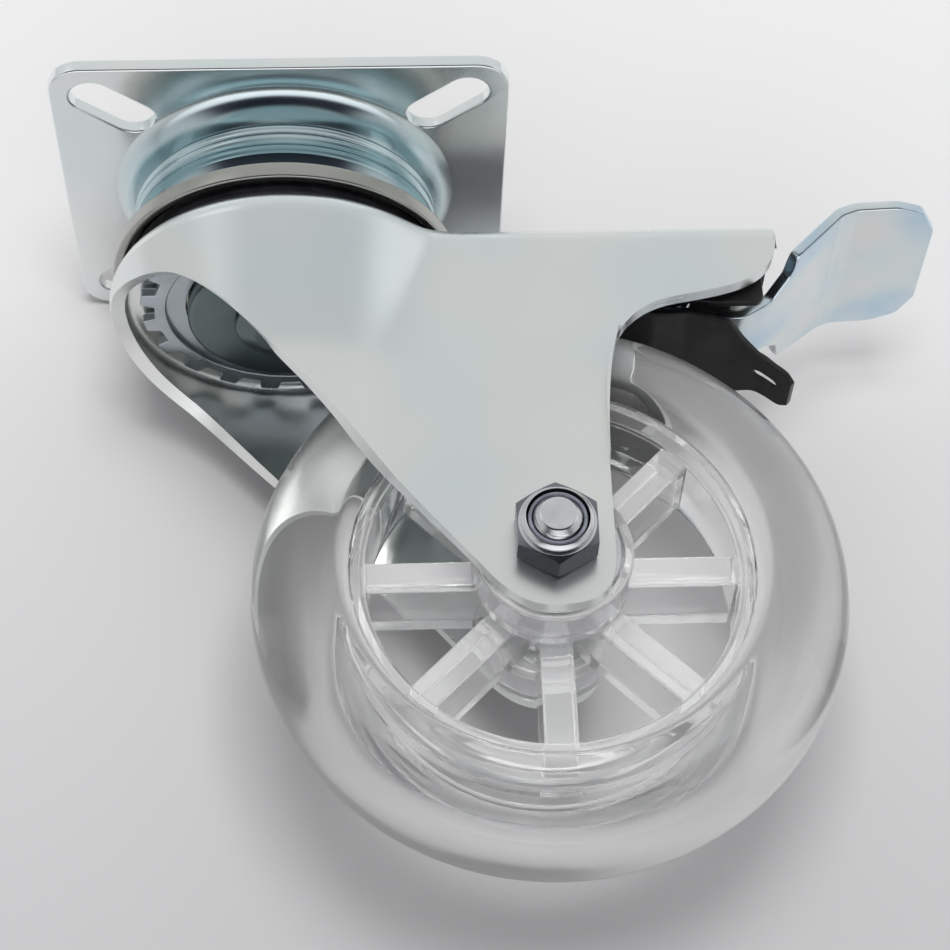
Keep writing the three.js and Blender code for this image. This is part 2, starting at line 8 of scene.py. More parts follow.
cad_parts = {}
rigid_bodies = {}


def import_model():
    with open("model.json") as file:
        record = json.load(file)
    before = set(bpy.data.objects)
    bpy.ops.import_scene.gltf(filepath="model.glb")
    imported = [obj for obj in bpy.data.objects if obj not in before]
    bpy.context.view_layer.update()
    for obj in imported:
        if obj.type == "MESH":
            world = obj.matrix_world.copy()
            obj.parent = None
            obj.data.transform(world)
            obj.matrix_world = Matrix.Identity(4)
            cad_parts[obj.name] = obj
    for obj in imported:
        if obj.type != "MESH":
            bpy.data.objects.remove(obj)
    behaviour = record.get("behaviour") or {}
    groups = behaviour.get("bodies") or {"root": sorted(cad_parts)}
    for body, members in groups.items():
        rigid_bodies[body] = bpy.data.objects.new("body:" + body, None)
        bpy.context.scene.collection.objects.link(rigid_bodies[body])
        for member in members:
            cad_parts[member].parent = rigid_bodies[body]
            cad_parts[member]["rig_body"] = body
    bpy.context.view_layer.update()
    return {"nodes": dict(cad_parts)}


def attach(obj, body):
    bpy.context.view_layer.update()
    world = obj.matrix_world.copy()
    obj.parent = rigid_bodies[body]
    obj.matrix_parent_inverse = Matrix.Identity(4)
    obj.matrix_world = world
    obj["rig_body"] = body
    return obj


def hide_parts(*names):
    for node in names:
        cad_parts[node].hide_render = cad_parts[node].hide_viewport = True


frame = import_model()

scene = bpy.context.scene
MM = 0.001

# ------------ sizes, in millimetres; some tables are unpacked in the order of their entries

PLATE = {"length": 80, "width": 70, "thick": 2.5, "corner": 6}
SLOT = {"x": 29.3, "y": 24.8, "length": 16.6, "width": 7.6}
BOSS = {"root": 29.6, "flare": 30.8, "wall": 27, "rib": 0.34, "pitch": 2.35, "floor": -17.5, "thick": 2.4,
        "hole": 6.5}
CAP = {"radius": 30.7, "top": -17.8, "web": 2.4, "lip": -22.2, "wall": 1.8}
CUP = {"radius": 17.4, "rim": -27.1, "floor": -30.3, "wall": 1.1}
LOCK = {"inner": 17.7, "web": 0.9, "step": 21.2, "root": 23.4, "tip": 25.8, "top": -27.3, "thick": 1.8,
        "teeth": 20}
FORK = {"top": -24.3, "sheet": 2.5, "crown": 31.2, "leg": 19.0, "rear": 85.3, "shoulder": 4.0,
        "draft": 0.26, "draft_end": -52.0, "blend": 1.8, "blend_over": 12, "narrow_over": 42, "pin_hole": 7}
AXLE = (44.0, 0.0, -87.0)
TYRE = {"radius": 50, "half": 13.8, "widest": 36, "power": 2.2, "edge": 33.6, "edge_half": 9.9}
RIM = {"inner": 31, "outer": 33.3, "half": 9.9, "ridge": 35.4, "ridge_half": 3.6}
SPOKES = {"count": 8, "width": 5.6, "half": 7.0}
BARREL = {"seat": 13, "from": 7.7, "end": 15.3, "waist": 8.2, "bore": 6.4}
BEARING = {"outer": 11, "outer_inside": 9.2, "inner_outside": 6.2, "from": 8, "to": 15}
BOLT = {"radius": 4.0, "pitch": 1.25, "tip": -27.15, "threaded_to": -17.5, "head": 5.3}
BOLT_HOLE = 4.3
HEXAGON = 13
NUT = 5.4
BRACKET = {"half": 14.2, "sheet": 1.5, "start": 41, "end": 83, "low": -38.4}
PEDAL_PIVOT = (68.0, -32.4)
PEDAL_PIN = {"radius": 2.0, "hole": 2.3}
LEAF_PIVOT = (46.0, -31.8)
LEAF_PIN = {"radius": 1.8, "hole": 2.1}
GAP = 0.3

# ------------ outlines


def arc(cx, cy, radius, start, end, steps):
    """Points on an arc, with its angles in degrees."""
    angles = [math.radians(start + (end - start) * i / steps) for i in range(steps + 1)]
    return [(cx + radius * math.cos(a), cy + radius * math.sin(a)) for a in angles]


def bezier(a, b, c, d, steps):
    """Points on a cubic curve, without its first point."""
    points = []
    for i in range(1, steps + 1):
        t = i / steps
        u = 1 - t
        weights = (u ** 3, 3 * u * u * t, 3 * u * t * t, t ** 3)
        points.append(tuple(sum(w * p[k] for w, p in zip(weights, (a, b, c, d))) for k in (0, 1)))
    return points


def straight(a, b, steps):
    """Points on a line, without its first point."""
    dx, dy = b[0] - a[0], b[1] - a[1]
    return [(a[0] + dx * i / steps, a[1] + dy * i / steps) for i in range(1, steps + 1)]


def rounded(corners, radius=0.4, steps=4, closed=True):
    """An outline whose corners, given as (x, y) or (x, y, radius), are rounded off."""
    points = []
    count = len(corners)
    for i, corner in enumerate(corners):
        here = Vector(corner[:2])
        size = corner[2] if len(corner) > 2 else radius
        at_end = not closed and i in (0, count - 1)
        if size == 0 or at_end:
            points.append(tuple(here))
            continue
        before = Vector(corners[i - 1][:2]) - here
        after = Vector(corners[(i + 1) % count][:2]) - here
        half = before.angle(after) / 2
        if half > 1.54:
            points.append(tuple(here))
            continue
        reach = min(size / math.tan(half), before.length * 0.49, after.length * 0.49)
        size = reach * math.tan(half)
        towards = (before.normalized() + after.normalized()).normalized()
        centre = here + towards * size / math.sin(half)
        first = here + before.normalized() * reach - centre
        last = here + after.normalized() * reach - centre
        start = math.atan2(first.y, first.x)
        sweep = (math.atan2(last.y, last.x) - start + math.pi) % (2 * math.pi) - math.pi
        for k in range(steps + 1):
            angle = start + sweep * k / steps
            points.append((centre.x + size * math.cos(angle), centre.y + size * math.sin(angle)))
    return points


def area(outline):
    """The area inside a closed outline, negative where it runs clockwise."""
    pairs = zip(outline, outline[1:] + outline[:1])
    return sum(a[0] * b[1] - b[0] * a[1] for a, b in pairs) / 2


def offset(outline, distance):
    """The closed outline moved outwards by distance; it runs anticlockwise."""
    moved = []
    count = len(outline)
    for i, point in enumerate(outline):
        before = (Vector(point) - Vector(outline[i - 1])).normalized()
        after = (Vector(outline[(i + 1) % count]) - Vector(point)).normalized()
        along = (before + after).normalized()
        reach = distance / max(along.dot(after), 0.35)
        moved.append((point[0] + along.y * reach, point[1] - along.x * reach))
    return moved


# ------------ meshes


def new_object(name, data):
    obj = bpy.data.objects.new(name, data)
    scene.collection.objects.link(obj)
    return obj


def mark_sharp(mesh_data, sharp):
    """Shades the mesh smooth except across edges that bend by more than sharp degrees."""
    for face in mesh_data.faces:
        face.smooth = True
    for edge in mesh_data.edges:
        edge.smooth = edge.calc_face_angle(0) < math.radians(sharp)


def finish_mesh(name, mesh_data, sharp=38):
    """An object from a bmesh in millimetres, smooth except across its sharp edges."""
    bmesh.ops.remove_doubles(mesh_data, verts=mesh_data.verts, dist=1e-4)
    bmesh.ops.dissolve_degenerate(mesh_data, edges=mesh_data.edges, dist=1e-4)
    wires = [edge for edge in mesh_data.edges if not edge.link_faces]
    bmesh.ops.delete(mesh_data, geom=wires, context="EDGES")
    bmesh.ops.recalc_face_normals(mesh_data, faces=mesh_data.faces)
    bmesh.ops.scale(mesh_data, vec=(MM, MM, MM), verts=mesh_data.verts)
    mark_sharp(mesh_data, sharp)
    mesh = bpy.data.meshes.new(name)
    mesh_data.to_mesh(mesh)
    mesh_data.free()
    return new_object(name, mesh)


def join_rows(mesh_data, rows):
    """Joins each closed row of vertices to the next one with four-sided faces."""
    for a, b in zip(rows, rows[1:]):
        for k in range(len(a)):
            n = (k + 1) % len(a)
            mesh_data.faces.new((a[k], a[n], b[n], b[k]))


def add_ring(mesh_data, radius, height, segments):
    """A closed row of vertices on a circle about Z."""
    angles = [2 * math.pi * k / segments for k in range(segments)]
    return [mesh_data.verts.new((radius * math.cos(a), radius * math.sin(a), height)) for a in angles]


def add_turned(mesh_data, profile, segments, closed=True):
    """Adds a (radius, height) profile turned about Z."""
    rings = [add_ring(mesh_data, radius, height, segments) for radius, height in profile]
    join_rows(mesh_data, rings + rings[:1] if closed else rings)


def turned(name, profile, segments):
    """A solid from a closed (radius, height) profile turned about Z."""
    mesh_data = bmesh.new()
    add_turned(mesh_data, profile, segments)
    return finish_mesh(name, mesh_data)


def add_slab(mesh_data, outer, holes, low, high, edge, steps):
    """Adds a flat (x, y) outline with holes as a slab from low to high, with rounded edges."""
    outer = outer if area(outer) > 0 else outer[::-1]
    loops = [(outer, -1)] + [(h if area(h) > 0 else h[::-1], 1) for h in holes]
    top, bottom = [], []
    for outline, side in loops:
        rows = []
        for height, sign in ((high, -1), (low, 1)):
            for k in range(steps + 1):
                angle = math.pi / 2 * k / steps
                turn = (math.sin(angle), math.cos(angle))
                inset, drop = (edge * (1 - part) for part in (turn if sign < 0 else turn[::-1]))
                points = offset(outline, side * inset)
                rows.append([mesh_data.verts.new((x, y, height + sign * drop)) for x, y in points])
        join_rows(mesh_data, rows)
        top.append(rows[0])
        bottom.append(rows[-1])
    for rows in (top, bottom):
        edges = []
        for row in rows:
            edges += [mesh_data.edges.get((a, b)) for a, b in zip(row, row[1:] + row[:1])]
        bmesh.ops.triangle_fill(mesh_data, use_beauty=True, edges=edges, normal=(0, 0, 1))


def slab(name, outer, holes, low, high, edge, steps=3):
    mesh_data = bmesh.new()
    add_slab(mesh_data, outer, holes, low, high, edge, steps)
    return finish_mesh(name, mesh_data)


def bent_sheet(name, line, half_width, thick, edge, step):
    """Sheet metal along a line of (x, z) corners with bend radii; half_width is a function of x."""
    steps = 3
    path = rounded(line, steps=8, closed=False)
    dense = [path[0]]
    for a, b in zip(path, path[1:]):
        length = math.dist(a, b)
        dense += straight(a, b, max(1, math.ceil(length / step)))
    half = thick / 2
    corners = [(1, 1, 0), (-1, 1, 90), (-1, -1, 180), (1, -1, 270)]
    mesh_data = bmesh.new()
    rows = []
    count = len(dense)
    for i, (x, z) in enumerate(dense):
        before = dense[max(i - 1, 0)]
        after = dense[min(i + 1, count - 1)]
        along = Vector((after[0] - before[0], after[1] - before[1])).normalized()
        ends = [0.0]
        if i in (0, count - 1):
            ends = [edge * (1 - math.sin(math.pi / 2 * k / steps)) for k in range(steps + 1)]
            if i:
                ends = ends[::-1]
        for inset in ends:
            wide = half_width(x) - inset
            deep = half - inset
            ring = []
            for sx, sy, turn in corners:
                for k in range(steps + 1):
                    angle = math.radians(turn + 90 * k / steps)
                    y = sx * (wide - edge) + edge * math.cos(angle)
                    w = sy * (deep - edge) + edge * math.sin(angle)
                    ring.append((x - along.y * w, y, z + along.x * w))
            rows.append([mesh_data.verts.new(p) for p in ring])
    join_rows(mesh_data, rows)
    mesh_data.faces.new(rows[0])
    mesh_data.faces.new(rows[-1])
    return finish_mesh(name, mesh_data)


def placed(obj, rotation, location):
    """Turns and moves the object's mesh itself; the location is in millimetres."""
    obj.data.transform(Matrix.Translation(Vector(location) * MM) @ rotation)
    return obj


ALONG_Y = Matrix.Rotation(-math.pi / 2, 4, "X")


def on_axle(obj):
    """Moves a piece made about Z onto the wheel's axle, so that its +Z becomes +Y."""
    return placed(obj, ALONG_Y, AXLE)


def bar_y(name, pivot, radius, half, segments, edge):
    """A round bar along Y with rounded ends, centred on (x, z)."""
    profile = rounded([(0, -half), (radius, -half, edge), (radius, half, edge), (0, half)], closed=False)
    mesh_data = bmesh.new()
    add_turned(mesh_data, profile, segments, closed=False)
    obj = finish_mesh(name, mesh_data)
    return placed(obj, ALONG_Y, (pivot[0], 0, pivot[1]))


def bake(obj):
    """Replaces the object's mesh with what its modifiers make of it."""
    graph = bpy.context.evaluated_depsgraph_get()
    mesh = bpy.data.meshes.new_from_object(obj.evaluated_get(graph))
    obj.modifiers.clear()
    obj.data = mesh
    return obj


def combine(obj, tools, operation):
    """Adds the tools to the object, or cuts them from it, and removes the tools."""
    for tool in tools:
        modifier = obj.modifiers.new("combine", "BOOLEAN")
        modifier.operation = operation
        modifier.solver = "EXACT"
        modifier.object = tool
    bake(obj)
    for tool in tools:
        bpy.data.objects.remove(tool)
    mesh_data = bmesh.new()
    mesh_data.from_mesh(obj.data)
    bmesh.ops.remove_doubles(mesh_data, verts=mesh_data.verts, dist=2e-6)
    bmesh.ops.dissolve_degenerate(mesh_data, edges=mesh_data.edges, dist=2e-6)
    mesh_data.to_mesh(obj.data)
    mesh_data.free()
    return obj


def bevel(obj, width, segments, angle):
    """Rounds the edges that bend by more than angle degrees."""
    modifier = obj.modifiers.new("bevel", "BEVEL")
    modifier.width = width * MM
    modifier.segments = segments
    modifier.limit_method = "ANGLE"
    modifier.angle_limit = math.radians(angle)
    modifier.use_clamp_overlap = True
    return bake(obj)


def even_normals(obj, sharp=38):
    """Keeps broad flats flat beside their rounded edges."""
    mesh = obj.data
    mesh_data = bmesh.new()
    mesh_data.from_mesh(mesh)
    mark_sharp(mesh_data, sharp)
    mesh_data.to_mesh(mesh)
    mesh_data.free()
    modifier = obj.modifiers.new("even_normals", "WEIGHTED_NORMAL")
    modifier.keep_sharp = True
    modifier.weight = 80
    return obj


# ------------ materials


TEAL_EDGE = (0.0320, 0.0275)  # metres from the swivel axis over which the teal film sets in


def new_material(name):
    """A material with its node tree, its shader and the part's own coordinates."""
    material = bpy.data.materials.new(name)
    material.use_nodes = True
    tree = material.node_tree
    place = node(tree, "ShaderNodeTexCoord").outputs["Object"]
    return material, tree, tree.nodes["Principled BSDF"], place


def feed(tree, made, inputs):
    """Sets a node's inputs, by name or number, to values or to the sockets they come from."""
    for key, value in inputs.items():
        if isinstance(value, bpy.types.NodeSocket):
            tree.links.new(value, made.inputs[key])
        else:
            made.inputs[key].default_value = value


def node(tree, kind, inputs=None, **settings):
    made = tree.nodes.new(kind)
    for key, value in settings.items():
        setattr(made, key, value)
    feed(tree, made, inputs or {})
    return made


def noise(tree, place, scale, detail, rough=0.55):
    """A noise texture in the part's own coordinates; scale is in features per metre."""
    inputs = {"Vector": place, "Scale": scale, "Detail": detail, "Roughness": rough}
    return node(tree, "ShaderNodeTexNoise", inputs).outputs["Fac"]


def ramp(tree, value, stops):
    made = node(tree, "ShaderNodeValToRGB", {"Fac": value})
    elements = made.color_ramp.elements
    while len(elements) < len(stops):
        elements.new(0.5)
    for element, (position, colour) in zip(elements, stops):
        element.position = position
        element.color = (*colour, 1)
    return made.outputs["Color"]


def eased(tree, value, low, high):
    """0 where the value is low, easing to 1 where it is high."""
    limits = {"Value": value, "From Min": low, "From Max": high}
    return node(tree, "ShaderNodeMapRange", limits, interpolation_type="SMOOTHSTEP").outputs["Result"]


def blended(tree, factor, first, second):
    """The first colour where factor is 0, the second where it is 1."""
    made = node(tree, "ShaderNodeMix", data_type="RGBA")
    first, second = (c if isinstance(c, bpy.types.NodeSocket) else (*c, 1) for c in (first, second))
    feed(tree, made, {"Factor": factor, "A": first, "B": second})
    return made.outputs["Result"]


def mixed_surface(tree, factor, first, second):
    """The first shader where factor is 0, the second where it is 1."""
    return node(tree, "ShaderNodeMixShader", {0: factor, 1: first, 2: second}).outputs[0]


def spread(tree, value, low, high):
    """Maps a 0 to 1 value onto low to high."""
    inputs = {"Value": value, "From Min": 0.25, "From Max": 0.75, "To Min": low, "To Max": high}
    return node(tree, "ShaderNodeMapRange", inputs).outputs["Result"]


def bump(tree, shader, height, strength, distance):
    made = node(tree, "ShaderNodeBump", {"Height": height, "Strength": strength, "Distance": distance * MM})
    tree.links.new(made.outputs["Normal"], shader.inputs["Normal"])


def zinc(name, base, tints, rough, teal=None, spots=26):
    """Zinc-plated sheet: faint cloudy tints, fine grain, and blue-green passivation round the boss."""
    material, tree, shader, place = new_material(name)
    clouds = noise(tree, place, spots, 2, 0.4)
    colour = ramp(tree, clouds, [(0.30, tints[0]), (0.50, base), (0.70, tints[1])])
    if teal is not None:
        split = node(tree, "ShaderNodeSeparateXYZ", {0: place})
        across = node(tree, "ShaderNodeCombineXYZ", {0: split.outputs[0], 1: split.outputs[1]})
        radius = node(tree, "ShaderNodeVectorMath", {0: across.outputs[0]}, operation="LENGTH")
        near = eased(tree, radius.outputs["Value"], *TEAL_EDGE)
        waves = {"Vector": place, "Scale": 46.0, "Distortion": 3.0, "Detail": 1.0}
        bands = node(tree, "ShaderNodeTexWave", waves, bands_direction="Z").outputs["Fac"]
        film = ramp(tree, bands, [(0.2, teal[0]), (0.8, teal[1])])
        colour = blended(tree, near, colour, film)
    smear = spread(tree, noise(tree, place, 60, 2, 0.4), rough - 0.02, rough + 0.03)
    feed(tree, shader, {"Base Color": colour, "Metallic": 1.0, "Roughness": smear})
    bump(tree, shader, noise(tree, place, 2400, 1, 0.4), 0.05, 0.02)
    return material


def steel(name, base, rough):
    """Turned or cut steel, faintly patchy, with fine tool marks."""
    material, tree, shader, place = new_material(name)
    patches = noise(tree, place, 120, 3)
    colour = ramp(tree, patches, [(0.35, tuple(c * 0.82 for c in base)), (0.65, base)])
    wear = spread(tree, patches, rough - 0.04, rough + 0.06)
    feed(tree, shader, {"Base Color": colour, "Metallic": 1.0, "Roughness": wear})
    bump(tree, shader, noise(tree, place, 900, 3), 0.12, 0.02)
    return material


def black_steel(name):
    """Black-oxided spring steel: semi-gloss, slightly blotchy, with lighter rubbed patches."""
    material, tree, shader, place = new_material(name)
    rubbed = noise(tree, place, 160, 5, 0.65)
    stops = [(0.40, (0.008, 0.008, 0.009)), (0.62, (0.018, 0.018, 0.019)), (0.78, (0.06, 0.06, 0.06))]
    feed(tree, shader, {"Base Color": ramp(tree, rubbed, stops), "Metallic": 0.2, "Specular IOR Level": 0.35,
                        "Roughness": spread(tree, rubbed, 0.27, 0.42)})
    bump(tree, shader, noise(tree, place, 2200, 3), 0.25, 0.03)
    return material


def moulded(name, base, rough):
    """Opaque moulded rubber or nylon with a dull, faintly mottled skin."""
    material, tree, shader, place = new_material(name)
    patches = noise(tree, place, 300, 3)
    lighter = tuple(min(c * 1.8 + 0.004, 1) for c in base)
    feed(tree, shader, {"Base Color": ramp(tree, patches, [(0.35, base), (0.75, lighter)]),
                        "Roughness": spread(tree, patches, rough - 0.06, rough + 0.1)})
    bump(tree, shader, noise(tree, place, 3500, 2), 0.3, 0.03)
    return material


def clear(name, tint, ior, rough, passes, ripple=0.0, haze=0.0):
    """Clear moulded plastic, faintly uneven and milky; passes is its soft light square on and aslant."""
    material, tree, shader, place = new_material(name)
    flow = noise(tree, place, 60, 2)
    paler = tuple(min(c * 1.02, 1) for c in tint)
    feed(tree, shader, {"Base Color": ramp(tree, flow, [(0.35, tint), (0.65, paler)]),
                        "Roughness": spread(tree, flow, rough, rough + 0.012),
                        "Transmission Weight": 1.0 - haze, "IOR": ior})
    if ripple:
        bump(tree, shader, noise(tree, place, 190, 2), ripple, 0.05)
    slant = node(tree, "ShaderNodeLayerWeight", {"Blend": 0.5}).outputs["Facing"]
    through = ramp(tree, slant, [(0.03, (passes[0],) * 3), (0.40, (passes[1],) * 3)])
    lamp = node(tree, "ShaderNodeBsdfTransparent", {"Color": through})
    path = node(tree, "ShaderNodeLightPath")
    seen = shader.outputs[0]
    for ray in ("Is Shadow Ray", "Is Diffuse Ray"):
        seen = mixed_surface(tree, path.outputs[ray], seen, lamp.outputs[0])
    tree.links.new(seen, tree.nodes["Material Output"].inputs["Surface"])
    return material


ZINC_PLATE = zinc("zinc_plate", (0.83, 0.87, 0.87), ((0.76, 0.84, 0.85), (0.87, 0.88, 0.87)), 0.20,
                  ((0.24, 0.38, 0.42), (0.54, 0.66, 0.69)))
ZINC_FORK = zinc("zinc_fork", (0.80, 0.83, 0.82), ((0.74, 0.80, 0.82), (0.86, 0.87, 0.84)), 0.28)
ZINC_PEDAL = zinc("zinc_pedal", (0.76, 0.82, 0.82), ((0.55, 0.70, 0.82), (0.88, 0.80, 0.79)), 0.25, spots=62)
ZINC_CAP = zinc("zinc_cap", (0.42, 0.42, 0.40), ((0.34, 0.35, 0.32), (0.48, 0.48, 0.46)), 0.24)
# painted shade: zinc darkened to stand for the shade on the cup and kingpin inside the fork's crown
RECESS_ZINC_PAINTED_SHADE = steel("recess_zinc_painted_shade", (0.15, 0.19, 0.19), 0.3)
RING_ZINC = steel("ring_zinc", (0.50, 0.55, 0.58), 0.3)
# painted shade: a darker copy of the bright steel for the nut's hex flats, which are the same steel as its
# collar
NUT_FLATS_PAINTED_SHADE = steel("nut_flats_painted_shade", (0.22, 0.23, 0.26), 0.25)
STEEL = steel("bright_steel", (0.74, 0.75, 0.77), 0.17)
DARK_ZINC = steel("dark_zinc", (0.42, 0.50, 0.49), 0.28)
BLACK = black_steel("black_spring_steel")
SEAL = moulded("black_seal", (0.008, 0.008, 0.010), 0.5)
NYLON = moulded("nylon", (0.13, 0.14, 0.17), 0.38)
TYRE_CLEAR = clear("clear_tyre", (1.0, 1.0, 1.0), 1.5, 0.0, (0.54, 0.01), haze=0.05)
TYRE_BOND = clear("clear_tyre_bond", (0.998, 0.998, 0.998), 1.001, 0.0, (1.0, 1.0))
HUB_CLEAR = clear("clear_hub", (0.99, 0.995, 1.0), 1.58, 0.04, (0.99, 0.9), 0.25, 0.19)
HUB_BOND = clear("clear_hub_bond", (0.995, 0.995, 0.995), 1.05, 0.0, (1.0, 0.98))


def show(obj, node_name, material):
    """The object stands for one CAD node: same body and given material, with the CAD node hidden."""
    obj.name = node_name + ".look"
    obj.data.name = obj.name
    for made in material if isinstance(material, tuple) else (material,):
        obj.data.materials.append(made)
    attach(obj, frame["nodes"][node_name]["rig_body"])
    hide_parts(node_name)
    return obj


def repaint(node_name, material):
    """A carried-over CAD node gets a better material."""
    obj = frame["nodes"][node_name]
    obj.data.materials.clear()
    obj.data.materials.append(material)


# ------------ plate and swivel head


def rounded_rectangle(length, width, corner, steps=10):
    x, y = length / 2, width / 2
    return rounded([(-x, -y), (x, -y), (x, y), (-x, y)], corner, steps)


def slot_outline(length, width):
    radius = width / 2
    reach = length / 2 - radius
    return arc(reach, 0, radius, -90, 90, 14) + arc(-reach, 0, radius, 90, 270, 14)


def boss_profile():
    """The drawn boss: down its flare, ribbed wall and tapered foot, then back up inside to the top."""
    root, flare, wall, rib, pitch, floor, thick, hole = BOSS.values()
    flat = root + 0.4
    under = -PLATE["thick"]
    drop = 5.4
    low = [(flat, -1.2), (flat, under + 0.3), (flare, under + 0.02)]
    for k in range(1, 17):
        angle = math.pi / 2 * k / 16
        low.append((flare - (flare - wall) * math.sin(angle), under - drop * (1 - math.cos(angle))))
    start, end = under - drop - 0.3, -14.5
    count = 72
    for k in range(count + 1):
        z = start + (end - start) * k / count
        wave = 0.5 - 0.5 * math.cos(2 * math.pi * (z - end) / pitch)
        low.append((wall + rib * min(1, k / 8) * wave, z))
    low += rounded([(wall, end, 0), (wall - 1.9, floor, 1.2), (hole, floor, 0.3), (hole, floor + thick, 0.3),
                    (wall - thick, floor + thick, 1.4), (wall - thick, 0, 3.6), (flat, 0, 0)], steps=8,
                   closed=False)[1:]
    return low


def plate_slots():
    """The outlines of the four slots, which point away from the plate's middle."""
    outline = slot_outline(SLOT["length"], SLOT["width"])
    slots = []
    for x0 in (-SLOT["x"], SLOT["x"]):
        for y0 in (-SLOT["y"], SLOT["y"]):
            turn = math.atan2(y0, x0)
            c, s = math.cos(turn), math.sin(turn)
            slots.append([(x0 + c * x - s * y, y0 + s * x + c * y) for x, y in outline])
    return slots


def top_plate():
    outer = rounded_rectangle(PLATE["length"], PLATE["width"], PLATE["corner"])
    slots = plate_slots()
    segments = 180
    flat = slab("plate_flat", outer, slots, -PLATE["thick"], 0, 0.45)
    radius = BOSS["root"] - 0.2
    hole = turned("plate_hole", [(0, -6), (radius, -6), (radius, 4), (0, 4)], segments)
    combine(flat, [hole], "DIFFERENCE")
    boss = turned("boss", boss_profile(), segments)
    clear_slots = [slab("slot", offset(outline, -0.03), [], -8, 3, 0.02, 1) for outline in slots]
    combine(boss, clear_slots, "DIFFERENCE")
    combine(flat, [boss], "UNION")
    return even_normals(flat)


def race_cap_and_seal():
    radius, top, web, lip, wall = CAP.values()
    cap = turned("cap", rounded([
        (6.5, top, 0.2), (radius - 2.2, top, 0.8), (radius, top - 1.5, 0.8), (radius, lip, 0.5),
        (radius - wall, lip, 0.5), (radius - wall, top - web, 0.8), (6.5, top - web, 0.2)], steps=6), 180)
    show(cap, "race_cap", ZINC_CAP)

    low, high = FORK["top"] + GAP, top - web - GAP
    seal = turned("seal", rounded([(25.4, low), (28.2, low, 0.5), (27.6, low + 1.4, 0.8), (27.6, high),
                                   (25.4, high)], 0.3), 160)
    show(seal, "dust_seal", SEAL)


def kingpin():
    under = BOSS["floor"] + BOSS["thick"] + GAP
    foot = CUP["floor"] - CUP["wall"] - GAP
    pin = turned("pin", rounded([
        (0, under + 2.6, 0), (3, under + 2.6, 0.4), (4.2, under + 3, 0.6), (8.4, under + 2.2, 2),
        (10, under + 0.8, 0.8), (10, under, 0.3), (6.2, under, 0.1), (6.2, foot, 0.1), (9, foot, 0.3),
        (9, foot - 1.2, 0.8), (5.5, foot - 2.6, 1.5), (0, foot - 2.6, 0)], steps=6), 96)
    # painted shade: the kingpin gets the darkened zinc for the shade inside the crown
    show(pin, "kingpin", RECESS_ZINC_PAINTED_SHADE)


def lower_race_cup():
    radius, rim, floor, wall = CUP.values()
    cup = turned("cup", rounded([
        (radius, rim, 0.3), (radius, floor - wall, 1.2), (6.5, floor - wall, 0.3), (6.5, floor, 0.3),
        (radius - wall, floor, 0.6), (radius - wall, rim, 0.3)], steps=6), 160)
    # painted shade: the cup gets the darkened zinc for the shade inside the crown
    show(cup, "lower_race_cup", RECESS_ZINC_PAINTED_SHADE)


def lock_ring():
    """The castellated ring under the crown, which the brake leaf's tooth catches."""
    inner, web, step, root, tip, top, thick, teeth = LOCK.values()
    pitch = 360 / teeth
    outline = []
    for tooth in range(teeth):
        middle = pitch * (tooth + 0.5)
        for radius, angle in ((root, -0.27), (tip, -0.2), (tip, 0.2), (root, 0.27)):
            turn = math.radians(middle + pitch * angle)
            outline.append((radius * math.cos(turn), radius * math.sin(turn), 0.35))
    hole = arc(0, 0, step, 0, 357, 119)
    ring = slab("ring", rounded(outline, steps=3), [hole], top - thick, top, 0.3)
    middle = turned("middle", rounded([(inner, top - web), (step + 0.7, top - web), (step + 0.7, top - 0.1),
                                       (inner, top - 0.1)], 0.15), 150)
    combine(ring, [middle], "UNION")
    show(even_normals(ring), "lock_ring", RING_ZINC)


# ------------ fork


def crown_radius(z):
    """The radius of the crown's round front at a height; it narrows downwards."""
    start = FORK["top"] - FORK["shoulder"]
    return FORK["crown"] - FORK["draft"] * max(start - max(z, FORK["draft_end"]), 0)


def half_width(x, radius):
    """Half the fork's width at x: the round crown blended into the flat legs."""
    circle = math.sqrt(max(radius * radius - x * x, 0))
    t = min(max(x / FORK["blend_over"], 0), 1)
    blend = FORK["blend"] * t * t * (3 - 2 * t)
    wide = (circle + FORK["leg"]) / 2 + math.hypot((circle - FORK["leg"]) / 2, blend)
    if x > AXLE[0]:
        wide += (FORK["leg"] - wide) * (x - AXLE[0]) / FORK["narrow_over"]
    return wide


def fork_point(along, z, inset=0.0):
    """A point on the fork's outside, at a distance past the swivel axis, negative round the front."""
    radius = crown_radius(z)
    if along <= 0:
        angle = -along / FORK["crown"]
        return (-(radius - inset) * math.sin(angle), (radius - inset) * math.cos(angle), z)
    if inset == 0:
        return (along, half_width(along, radius), z)
    before, after = max(along - 0.05, 0), along + 0.05
    slope = (half_width(after, radius) - half_width(before, radius)) / (after - before)
    normal = Vector((-slope, 1)).normalized()
    x = along - normal.x * inset * min(1, (FORK["rear"] - along) / 6)
    return (x, half_width(along, radius) - normal.y * inset, z)


def fork_edge():
    """The lower edge of the fork in side view, from the front tip round the foot to the rear corner."""
    points = [(-33.2, -27.2)]
    for *corners, steps in (
            ((-28, -32.5), (-24, -32.8), (-18.5, -36), 24),
            ((-12, -40.5), (-6, -47.5), (4, -58.2), 28),
            ((31.5, -91), 30),
            ((34.8, -95.7), (38.7, -99.1), (43, -99.1), 12),
            ((51.5, -99.1), (53.6, -96.5), (53.6, -88), 16),
            ((53.7, -62), 16),
            ((53.9, -51), (57, -42.2), (67, -40.2), 20),
            ((76, -38.4), (85.6, -37.4), (FORK["rear"], -27.5), 18)):
        join = straight if len(corners) == 1 else bezier
        points += join(points[-1], *corners, steps)
    return points


